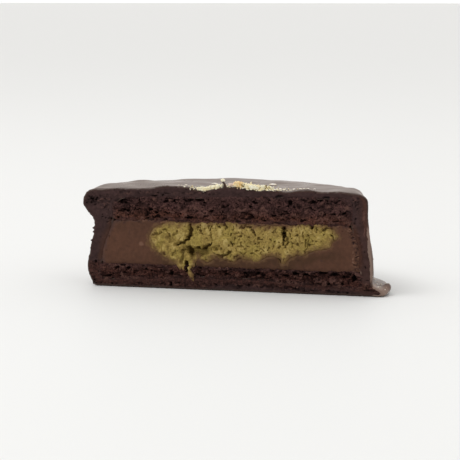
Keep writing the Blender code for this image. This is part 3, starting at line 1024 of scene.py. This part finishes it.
class Kit:
    """The nodes of one material or of the sky, and short ways to add to them."""

    def __init__(self, owner):
        owner.use_nodes = True
        self.owner = owner
        self.nodes = owner.node_tree.nodes
        self.links = owner.node_tree.links
        self.place = self.nodes.new("ShaderNodeTexCoord")

    def feed(self, value, socket):
        """Links a socket, or sets a colour or a plain number."""
        if isinstance(value, bpy.types.NodeSocket):
            self.links.new(value, socket)
        else:
            socket.default_value = (*value, 1) if isinstance(value, tuple) else value

    def noise(self, scale, detail, stretch=(1, 1, 1)):
        mapping = self.nodes.new("ShaderNodeMapping")
        mapping.inputs["Scale"].default_value = stretch
        self.feed(self.place.outputs["Object"], mapping.inputs["Vector"])
        noise = self.nodes.new("ShaderNodeTexNoise")
        noise.inputs["Scale"].default_value = scale
        noise.inputs["Detail"].default_value = detail
        self.feed(mapping.outputs["Vector"], noise.inputs["Vector"])
        return noise.outputs["Fac"]

    def ramp(self, source, *stops):
        """A colour ramp; stops are (position, (r, g, b)) or (position, grey)."""
        ramp = self.nodes.new("ShaderNodeValToRGB")
        elements = ramp.color_ramp.elements
        while len(elements) < len(stops):
            elements.new(0.5)
        for element, (position, colour) in zip(elements, stops):
            element.position = position
            rgb = colour if isinstance(colour, tuple) else (colour,) * 3
            element.color = (*rgb, 1)
        self.feed(source, ramp.inputs["Fac"])
        return ramp.outputs["Color"]

    def mix(self, factor, first, second, blend="MIX"):
        """Mixes two colours; each may be a socket or an (r, g, b) value."""
        mix = self.nodes.new("ShaderNodeMix")
        mix.data_type = "RGBA"
        mix.blend_type = blend
        for value, socket in ((factor, 0), (first, 6), (second, 7)):
            self.feed(value, mix.inputs[socket])
        return mix.outputs[2]

    def times(self, first, second):
        return self.mix(1.0, first, second, "MULTIPLY")

    def share(self, name, amount=1.0):
        """A carved share, multiplied by a plain number."""
        attribute = self.nodes.new("ShaderNodeAttribute")
        attribute.attribute_name = name
        node = self.nodes.new("ShaderNodeMath")
        node.operation = "MULTIPLY"
        node.inputs[1].default_value = amount
        self.feed(attribute.outputs["Fac"], node.inputs[0])
        return node.outputs["Value"]

    def bump(self, height, distance, under=None):
        bump = self.nodes.new("ShaderNodeBump")
        bump.inputs["Strength"].default_value = 1.0
        bump.inputs["Distance"].default_value = distance * mm
        self.feed(height, bump.inputs["Height"])
        if under:
            self.feed(under, bump.inputs["Normal"])
        return bump.outputs["Normal"]

    def painted_shade_and_highlight(self, colour, pore, grain):
        """Paints shade into the pores and hollows and a highlight onto the raised grains, by the
        carved share.
        """
        darkened = self.mix(self.share("painted_light_and_stain"), colour, pore)
        return self.mix(self.share("painted_light_and_stain", -1.0), darkened, grain)

    def finished(self, colour, roughness, gloss, normal):
        """Hands these to the shader and returns the material."""
        shader = self.nodes["Principled BSDF"]
        for value, name in ((colour, "Base Color"), (roughness, "Roughness"),
                            (gloss, "Specular IOR Level"), (normal, "Normal")):
            self.feed(value, shader.inputs[name])
        return self.owner


# %% [markdown]
# ### Colours
#
# The browns of cocoa differ by little, and yet each tells its layer: the coat's section is
# the greyest, the crumb is redder and the ganache is the warmest. They are kept in one
# place, so that the layers can be compared and tuned against each other.

# %% Colours
section_dark = (0.0392, 0.0205, 0.0194)
section_light = (0.0585, 0.0310, 0.0293)
crumb_brown = (0.0553, 0.0257, 0.0231)
crumb_warm = (0.075, 0.0285, 0.0185)
base_brown = (0.0495, 0.0190, 0.0144)
# painted highlight on raised grains and lit edges, and the paler crumb of the pale lumps
pale_crumb_and_highlight = (0.115, 0.0570, 0.0450)
# painted shade inside pores, hollows and bubbles
pore_shade = (0.0060, 0.0020, 0.0020)
ganache_dark = (0.083, 0.0350, 0.0190)
ganache_light = (0.106, 0.0450, 0.0255)
under_core_olive = (0.063, 0.0280, 0.0118)
paste_smear = (0.180, 0.100, 0.042)
chocolate_dark = (0.036, 0.0165, 0.0118)
chocolate_light = (0.049, 0.0222, 0.0158)
# paler crumb of the arc in the ganache, and painted highlight on its grains
torn_crumb_and_highlight = (0.200, 0.1000, 0.0640)
# the next two: paler colours of the broken wall and the foot, partly bloom and partly painted sheen
chipped_brown_and_sheen = (0.145, 0.0700, 0.0450)
bloom_and_painted_sheen = (0.260, 0.182, 0.146)
paste_yellow = (0.345, 0.240, 0.066)
paste_green = (0.335, 0.245, 0.060)
# the next two: painted highlight on the paste's raised lumps, and painted shade in its pits and
# cracks
paste_highlight = (0.500, 0.375, 0.130)
paste_pit_shade = (0.070, 0.040, 0.006)

# %% [markdown]
# ### Cocoa biscuit
#
# Dry cocoa crumb swallows light and has next to no gloss. One flat brown would look like
# painted wood, so two noises mottle it, grain by grain and patch by patch.

# %% Cocoa biscuit
crumb_mottle = ((0.32, 0.50), (0.5, 0.95), (0.68, 1.80))


def biscuit_material(name, brown_1, brown_2):
    """Dry crumb: mottled, with the second brown where the mesh is tinted."""
    kit = Kit(bpy.data.materials.new(name))
    fine = kit.noise(grain_scale, 2)
    broad = kit.noise(420, 3, (1, 1, 1.6))
    brown = kit.mix(kit.share("tint"), brown_1, brown_2)
    mottle = kit.times(kit.ramp(fine, *crumb_mottle), kit.ramp(broad, (0.35, 0.68), (0.65, 1.32)))
    blended = kit.mix(kit.share("blend", 0.6), kit.times(brown, mottle), section_light)
    # painted shade in the pores and hollows, painted highlight on the raised grains
    colour = kit.painted_shade_and_highlight(blended, pore_shade, pale_crumb_and_highlight)
    return kit.finished(colour, 0.9, 0.1, kit.bump(fine, 0.10))


lid_finish = biscuit_material("lid_biscuit", crumb_brown, crumb_warm)
base_finish = biscuit_material("base_biscuit", base_brown, crumb_brown)

# %% [markdown]
# ### Pistachio paste
#
# The paste is yellow-green, with a painted highlight on its raised lumps and painted olive
# shade in its pits and cracks, and turns brown where the ganache mixed in. The carved shares
# say where, so the colours follow the relief.

# %% Pistachio paste
kit = Kit(bpy.data.materials.new("pistachio_paste"))
fine = kit.noise(grain_scale, 2)
paste = kit.mix(kit.share("tint"), paste_yellow, paste_green)
grained = kit.times(paste, kit.ramp(fine, (0.32, 0.74), (0.68, 1.22)))
shaded_and_lit_paste = kit.painted_shade_and_highlight(grained, paste_pit_shade, paste_highlight)
smeared = kit.mix(kit.share("blend", 0.75), shaded_and_lit_paste, ganache_light)
paste_finish = kit.finished(smeared, 0.75, 0.2, kit.bump(fine, 0.06))

# %% [markdown]
# ### Ganache
#
# The filling is smooth, warm and only slightly glossy. Crumbs, paste and coat are blended
# in where the mesh says that the blade dragged them, and below the core it is darker and more
# olive. The crumbs in it get painted shade in their pores and painted highlight on their grains.

# %% Ganache
kit = Kit(bpy.data.materials.new("ganache"))
fine = kit.noise(1100, 4)
warm = kit.ramp(kit.noise(160, 3), (0.3, ganache_dark), (0.7, ganache_light))
# darker and more olive below the core
darkened_under_core = kit.mix(kit.share("tint", 0.8), warm, under_core_olive)
coated = kit.mix(kit.share("blend"), darkened_under_core, section_light)
dragged = kit.mix(kit.share("paste", 0.5), coated, paste_smear)
speckled = kit.times(dragged, kit.ramp(fine, (0.3, 0.86), (0.7, 1.14)))
# painted shade goes towards crumb brown, painted highlight towards the paler torn crumb colour
colour = kit.painted_shade_and_highlight(speckled, crumb_brown, torn_crumb_and_highlight)
ganache_finish = kit.finished(colour, 0.6, 0.2, kit.bump(fine, 0.03))

# %% [markdown]
# ### The coat, outside and where it broke
#
# Outside, the coat is satin. Where it was chipped and handled it is browner and dull, and on
# the broken wall and the foot a pale colour lies on it that is partly a bloom of fat and sugar
# and partly a painted sheen. The section is a material of its own: dull, with painted shade in
# its bubbles and pores, painted highlight along its edges, crumb and smears of ganache.

# %% Chocolate coat
kit = Kit(bpy.data.materials.new("dark_chocolate"))
broad = kit.noise(120, 3)
outside = kit.ramp(broad, (0.3, chocolate_dark), (0.7, chocolate_light))
# bevel, foot and handled wall: browner and paler, partly a painted sheen
chipped = kit.mix(kit.share("chip_bloom_and_sheen", 0.7), outside, chipped_brown_and_sheen)
bloom_and_sheen_share = kit.ramp(kit.share("chip_bloom_and_sheen"), (0.5, 0.0), (1.0, 0.85))
with_bloom_and_sheen = kit.mix(bloom_and_sheen_share, chipped, bloom_and_painted_sheen)
satin = kit.ramp(broad, (0.3, 0.24), (0.7, 0.38))
dull = kit.mix(kit.share("dull"), satin, (0.75, 0.75, 0.75))
relief = kit.bump(kit.noise(900, 4), 0.03, kit.bump(broad, 0.25))
coat_finish = kit.finished(with_bloom_and_sheen, dull, 0.38, relief)
for name, value in (("Specular Tint", (1.0, 0.93, 0.87)), ("Sheen Weight", 0.12),
                    ("Sheen Roughness", 0.4), ("Sheen Tint", (1.0, 0.72, 0.55))):
    kit.feed(value, kit.nodes["Principled BSDF"].inputs[name])

kit = Kit(bpy.data.materials.new("chocolate_section"))
fine = kit.noise(1100, 5)
section = kit.ramp(fine, (0.35, section_dark), (0.65, section_light))
streaks = kit.ramp(kit.noise(300, 3, (1, 1, 2.5)), (0.35, 0.85), (0.65, 1.12))
crumb = kit.times(base_brown, kit.ramp(kit.noise(grain_scale, 2), *crumb_mottle))
# the tint is crumb, and along the upper and right edges part of the painted highlight
crumbly = kit.mix(kit.share("tint", 0.85), kit.times(section, streaks), crumb)
# ganache smears, and a painted highlight line along the base
smeared = kit.mix(kit.share("blend", 0.6), crumbly, ganache_dark)
# painted shade in bubbles, pores and crumb, painted highlight on grains and along the edges
colour = kit.painted_shade_and_highlight(smeared, pore_shade, pale_crumb_and_highlight)
section_finish = kit.finished(colour, 0.75, 0.12, kit.bump(fine, 0.06))
print(len(bpy.data.materials), "materials so far")

# %% [markdown]
# ### Dressing the layers
#
# Each dressed layer is tied to the body and replaces its solid, which is hidden. The
# coat gets two finishes, and the carved share "cut" tells its section from its outside.

# %% Dress the layers and tie them to the frame


def finish_piece(piece, material, slot, *nodes):
    pick(piece)
    bpy.ops.object.shade_smooth()
    piece.data.materials.clear()
    piece.data.materials.append(material)
    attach(piece, "root")
    if nodes:
        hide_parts(*nodes)
    report(piece)


finish_piece(coat, coat_finish, "coating", "coating")
coat.data.materials.append(section_finish)
on_cut = coat.data.attributes["cut"].data
for face in coat.data.polygons:
    face.material_index = int(all(on_cut[corner].value > 0.5 for corner in face.vertices))
finish_piece(lid, lid_finish, "biscuit", "biscuit_top")
finish_piece(floor_biscuit, base_finish, "biscuit", "biscuit_bottom")
finish_piece(ganache, ganache_finish, "ganache", "ganache")
finish_piece(core, paste_finish, "pistachio", "pistachio")

# %% [markdown]
# ## Nut crumbs on top
#
# Chopped pistachio was sprinkled on the middle of the wet coat. Each crumb is a tiny
# irregular chip. Modelling every one is too much, and a particle system leaves no mesh of its
# own. So three chips are modelled from a low sphere, and copies of different sizes are
# dropped onto the coat by casting a ray down to it, sorted by colour and place.

# %% Model and scatter the crumbs
dice = random.Random(7)
thread_at = -1.35
thread_room = 0.65
high_above = 40
lowest_top = 20 * mm
behind_cut = 0.15
big_share, big_growth = 0.06, 1.6
half_sunk = 0.22
surface = BVHTree.FromObject(coat, bpy.context.evaluated_depsgraph_get())
heaps = (  # name, count, ends along the cut, spread behind it, sizes, height of the heap, soft ends
    ("nut_crumbs", 1500, (3.2, 9.0), 1.6, (0.20, 0.62), 1.0, 0.6),
    ("nut_crumbs_left", 850, (-7.2, -2.4), 1.3, (0.18, 0.52), 0.65, 0.8),
    ("thin_crumbs", 300, (-9.5, 12.5), 1.4, (0.15, 0.42), 0.25, 1.0),
    ("toasted_crumbs", 420, (1.2, 2.7), 1.4, (0.20, 0.60), 1.2, 0.35),
    ("rosy_crumbs", 190, (-0.5, 1.5), 1.2, (0.15, 0.45), 1.0, 0.3),
    ("husk_crumbs", 190, (3.0, 9.6), 1.2, (0.15, 0.50), 0.9, 0.5),
    ("stray_crumbs", 60, (-12.0, 15.0), 5.0, (0.2, 0.5), 0.0, 1.0),
)


def crumb(name, squash):
    """A low ball, dented at random and squashed."""
    piece = added(bpy.ops.mesh.primitive_ico_sphere_add, subdivisions=1, radius=0.5 * mm)
    piece.name = name
    for vertex in piece.data.vertices:
        vertex.co *= dice.uniform(0.72, 1.2)
        vertex.co = [side * share for side, share in zip(vertex.co, squash)]
    return piece


def land(x, behind, start=high_above):
    """Where a thing dropped x mm from the axis and so far behind the cut meets the coat."""
    above = Vector((axis_x + x * mm, cut_y + behind * mm, start * mm))
    return surface.ray_cast(above, Vector((0, 0, -1)))[:2]


def placed(shape, place, size):
    """A copy of a crumb, turned at random."""
    copy = shape.copy()
    copy.data = shape.data.copy()
    bpy.context.collection.objects.link(copy)
    copy.location = place
    copy.rotation_euler = [dice.uniform(0, math.tau) for _ in range(3)]
    copy.scale = (size, size, size)
    return copy


def scatter(name, count, along, depth, sizes, heap, softness):
    """Drops copies of the crumbs behind the cut, and heaps them up near it."""
    copies = []
    while len(copies) < count:
        x = dice.uniform(*along) + dice.gauss(0, softness)
        y = abs(dice.gauss(0, depth))
        if abs(x - thread_at) < thread_room:
            continue
        hit, _ = land(x, behind_cut + y)
        if hit is None or hit.z < lowest_top:
            continue
        size = dice.uniform(*sizes) * (big_growth if dice.random() < big_share else 1.0)
        shape = dice.choice(crumb_shapes)
        lift = heap * dice.random() * math.exp(-(y / depth) ** 2)
        copies.append(placed(shape, hit + Vector((0, 0, (half_sunk * size + lift) * mm)), size))
    return joined(copies, name)


def crumb_finish(name, dark, light):
    kit = Kit(bpy.data.materials.new(name))
    patch = kit.noise(900, 3)
    colour = kit.ramp(patch, (0.35, dark), (0.65, light))
    return kit.finished(colour, 0.8, 0.5, kit.bump(patch, 0.1))


pale_nut = crumb_finish("pale_nut", (0.96, 0.82, 0.47), (1.0, 0.98, 0.82))
colours = {
    "toasted_crumbs": crumb_finish("toasted_nut", (0.88, 0.60, 0.25), (1.0, 0.87, 0.56)),
    "rosy_crumbs": crumb_finish("rosy_nut", (0.80, 0.60, 0.48), (1.0, 0.88, 0.78)),
    "husk_crumbs": crumb_finish("nut_husk", (0.24, 0.17, 0.06), (0.50, 0.38, 0.14)),
}
squashes = ((1.2, 0.9, 0.7), (1.0, 1.0, 0.9), (1.6, 0.6, 0.6))
crumb_shapes = [crumb("crumb", squash) for squash in squashes]
for heap in heaps:
    finish_piece(scatter(*heap), colours.get(heap[0], pale_nut), "pistachio")
for shape in crumb_shapes:
    bpy.data.objects.remove(shape)

# %% [markdown]
# A few larger flakes lie flat on the top, behind the heap, and three on the foot. Their
# places are set one by one, because each of them shows.

# %% Lay the larger flakes
lying_flakes = (  # x from the axis, distance behind the cut, length and width, in mm
    (-7.4, 15.0, 1.9, 0.8), (7.2, 17.5, 2.6, 1.0), (7.2, 11.5, 1.0, 0.6), (-12.4, 5.0, 0.9, 0.7),
    (11.8, 3.8, 1.0, 0.8), (12.9, 3.6, 0.9, 0.6), (14.4, 3.4, 0.8, 0.6), (15.2, 4.4, 0.9, 0.7),
    (16.8, 4.2, 0.9, 0.6), (17.6, 4.6, 0.7, 0.5), (18.6, 4.2, 0.9, 0.6), (20.3, 4.2, 0.6, 0.5),
    (10.8, 1.0, 1.3, 0.5), (2.0, 14.0, 0.9, 0.5), (-14.2, 4.6, 0.5, 0.5), (-13.4, 4.4, 0.5, 0.4),
    (36.0, 4.0, 0.4, 0.4), (36.9, 5.0, 0.5, 0.5), (36.6, 1.6, 0.45, 0.4),
)
flake_height = 0.6
flake_lift = 0.15
flakes = []
for x, behind, length, width in lying_flakes:
    hit, normal = land(x, behind)
    flake = added(bpy.ops.mesh.primitive_ico_sphere_add, subdivisions=2, radius=0.5 * mm,
                  location=hit + normal * flake_lift * width * mm)
    for vertex in flake.data.vertices:
        vertex.co *= dice.uniform(0.8, 1.15)
    flake.scale = (length, width, flake_height * width)
    flake.rotation_euler = (0, 0, dice.uniform(-0.3, 0.3))
    flakes.append(flake)
white_nut = crumb_finish("white_nut", (0.88, 0.78, 0.62), (1.0, 0.96, 0.88))
finish_piece(joined(flakes, "nut_flakes"), white_nut, "pistachio")

# %% [markdown]
# Nut dust also clings to the wall and to the foot. The same chips, smaller, are stuck where
# a ray towards the middle of the cookie, or down onto the foot, meets the coat.

# %% Dust on the wall
specks_on_wall = 70
specks_on_foot = 22
speck_sizes = (0.12, 0.42)
far_out = 60 * mm
dust_shape = crumb("dust", (1.2, 0.9, 0.7))
dust = []


def stick(hit, normal):
    """Sticks a speck where a ray met the coat."""
    size = dice.uniform(*speck_sizes)
    dust.append(placed(dust_shape, hit + normal * 0.1 * size * mm, size))


while len(dust) < specks_on_wall:
    angle = math.radians(dice.uniform(4, 176))
    middle = Vector((axis_x, cut_y, (0.8 + 21 * dice.random() ** 1.6) * mm))
    outwards = Vector((math.cos(angle), math.sin(angle), 0))
    hit, normal, _, _ = surface.ray_cast(middle + outwards * far_out, -outwards)
    if hit is not None and hit.y > cut_y + 1.5 * mm:
        stick(hit, normal)
while len(dust) < specks_on_wall + specks_on_foot:
    hit, normal = land(dice.uniform(34.5, 39.2), 1 + abs(dice.gauss(0, 4)), start=5)
    if hit is not None and hit.z > 1 * mm:
        stick(hit, normal)
bpy.data.objects.remove(dust_shape)
nut_dust = crumb_finish("nut_dust", (0.50, 0.40, 0.30), (0.85, 0.78, 0.68))
finish_piece(joined(dust, "wall_dust"), nut_dust, "pistachio")

# %% [markdown]
# One thread of chocolate was pulled up by the knife and set upright at the cut, with a
# crumb on its tip. A small circle, extruded upwards in leaning steps, gives the thread.

# %% Draw the thread of chocolate
thread_steps = (  # lean, rise and taper
    (-0.03, 0.5, 0.85), (-0.10, 0.5, 0.95), (-0.24, 0.4, 0.95), (-0.22, 0.25, 0.8),
)
thread_behind = 0.45
thread_radius = 0.42 * mm
thread_root = 0.3 * mm
tip = land(thread_at, thread_behind)[0] - Vector((0, 0, thread_root))
thread = added(bpy.ops.mesh.primitive_circle_add, vertices=12, radius=thread_radius,
               fill_type="NGON", location=tip)
thread.name = "chocolate_thread"
settle(thread)
edit_all(thread)
for lean, rise, taper in thread_steps:
    bpy.ops.mesh.extrude_region_move(TRANSFORM_OT_translate={"value": (lean * mm, 0, rise * mm)})
    tip = tip + Vector((lean, 0, rise)) * mm
    bpy.ops.transform.resize(value=(taper, taper, 1), center_override=tip)
finish_piece(closed(thread), coat_finish, "coating")
tip_crumb = added(bpy.ops.mesh.primitive_ico_sphere_add, subdivisions=2, radius=0.5 * mm,
                  location=tip + Vector((0.05 * mm, 0, 0.3 * mm)))
tip_crumb.name = "tip_crumb"
bpy.ops.transform.resize(value=(1.1, 0.8, 0.8))
settle(tip_crumb)
for vertex in tip_crumb.data.vertices:
    vertex.co += Vector([dice.uniform(-0.11, 0.11) * mm for _ in range(3)])
finish_piece(tip_crumb, pale_nut, "pistachio")

# %% [markdown]
# ## Table, light and camera
#
# The cookie lies on a plain pale table, a single plane. It is stage, not cookie.

# %% A pale table
table = added(bpy.ops.mesh.primitive_plane_add, size=30, location=(0, 0, 0))
table.name = "table"
pale_table = bpy.data.materials.new("pale_table")
pale_table.use_nodes = True
table_inputs = pale_table.node_tree.nodes["Principled BSDF"].inputs
table_inputs["Base Color"].default_value = (0.79, 0.80, 0.795, 1)
table_inputs["Roughness"].default_value = 0.6
table.data.materials.append(pale_table)

# %% [markdown]
# ### Soft light
#
# The light is soft. It comes from above and behind, with a darker front, a large lamp at the
# left and a weak window. A warm grey wall, low behind, is what the satin coat mirrors.
# Small sharp lamps would put hard spots on it.

# %% Soft studio light
world = bpy.data.worlds.new("studio")
bpy.context.scene.world = world
sky = Kit(world)
split = sky.nodes.new("ShaderNodeSeparateXYZ")
sky.feed(sky.place.outputs["Generated"], split.inputs["Vector"])


def across(axis, *stops):
    """A ramp over the directions along one axis, from -1 to 1."""
    remap = sky.nodes.new("ShaderNodeMapRange")
    remap.inputs["From Min"].default_value = -1.0
    sky.feed(split.outputs[axis], remap.inputs["Value"])
    return sky.ramp(remap.outputs["Result"], *stops)


warm_grey = (0.88, 0.83, 0.79)
front_to_back = across("Y", (0.0, (0.34, 0.335, 0.33)), (0.62, (1.0, 0.992, 0.98)))
wall_behind = across("Z", (0.52, 1), (0.56, warm_grey), (0.64, warm_grey), (0.75, 1))
background = sky.nodes["Background"].inputs
sky.feed(sky.times(front_to_back, wall_behind), background["Color"])
sky.feed(1.065, background["Strength"])


def light(name, kind, aim, energy, place=(0, 0, 0), **settings):
    """A lamp at its place, shining along its aim."""
    lamp = bpy.data.lights.new(name, kind)
    lamp.energy = energy
    for setting, value in settings.items():
        setattr(lamp, setting, value)
    holder = bpy.data.objects.new(name, lamp)
    bpy.context.collection.objects.link(holder)
    holder.location = place
    holder.rotation_euler = Vector(aim).to_track_quat("-Z", "Y").to_euler()


light("key", "AREA", (0.35, 0.15, -0.80), 1.6, (-0.35, -0.15, 0.80), shape="SQUARE", size=0.45)
light("window", "SUN", (0.45, 0.35, -0.80), 0.55, angle=math.radians(30))

# %% [markdown]
# ### Camera
#
# A long lens, a little above the top and to the right, shows the whole cut and some of the
# wall beside it. A wide lens close by would bend the straight edges of the cut apart.

# %% Camera at the viewing angle
to_the_right, in_front, above_tray = 88.21, 386.05, 72.47  # in mm, from the axis at the cut
turn = math.radians(12.87)
tilt = math.radians(8.209)
camera_data = bpy.data.cameras.new("camera")
camera_data.sensor_width = 36
camera_data.lens = 127.2
camera_data.clip_start = 0.01
camera = bpy.data.objects.new("camera", camera_data)
bpy.context.collection.objects.link(camera)
camera.location = (axis_x + to_the_right * mm, cut_y - in_front * mm, above_tray * mm)
camera.rotation_euler = (math.radians(90) - tilt, 0, turn)
bpy.context.scene.camera = camera
bpy.context.scene.view_settings.view_transform = "Standard"
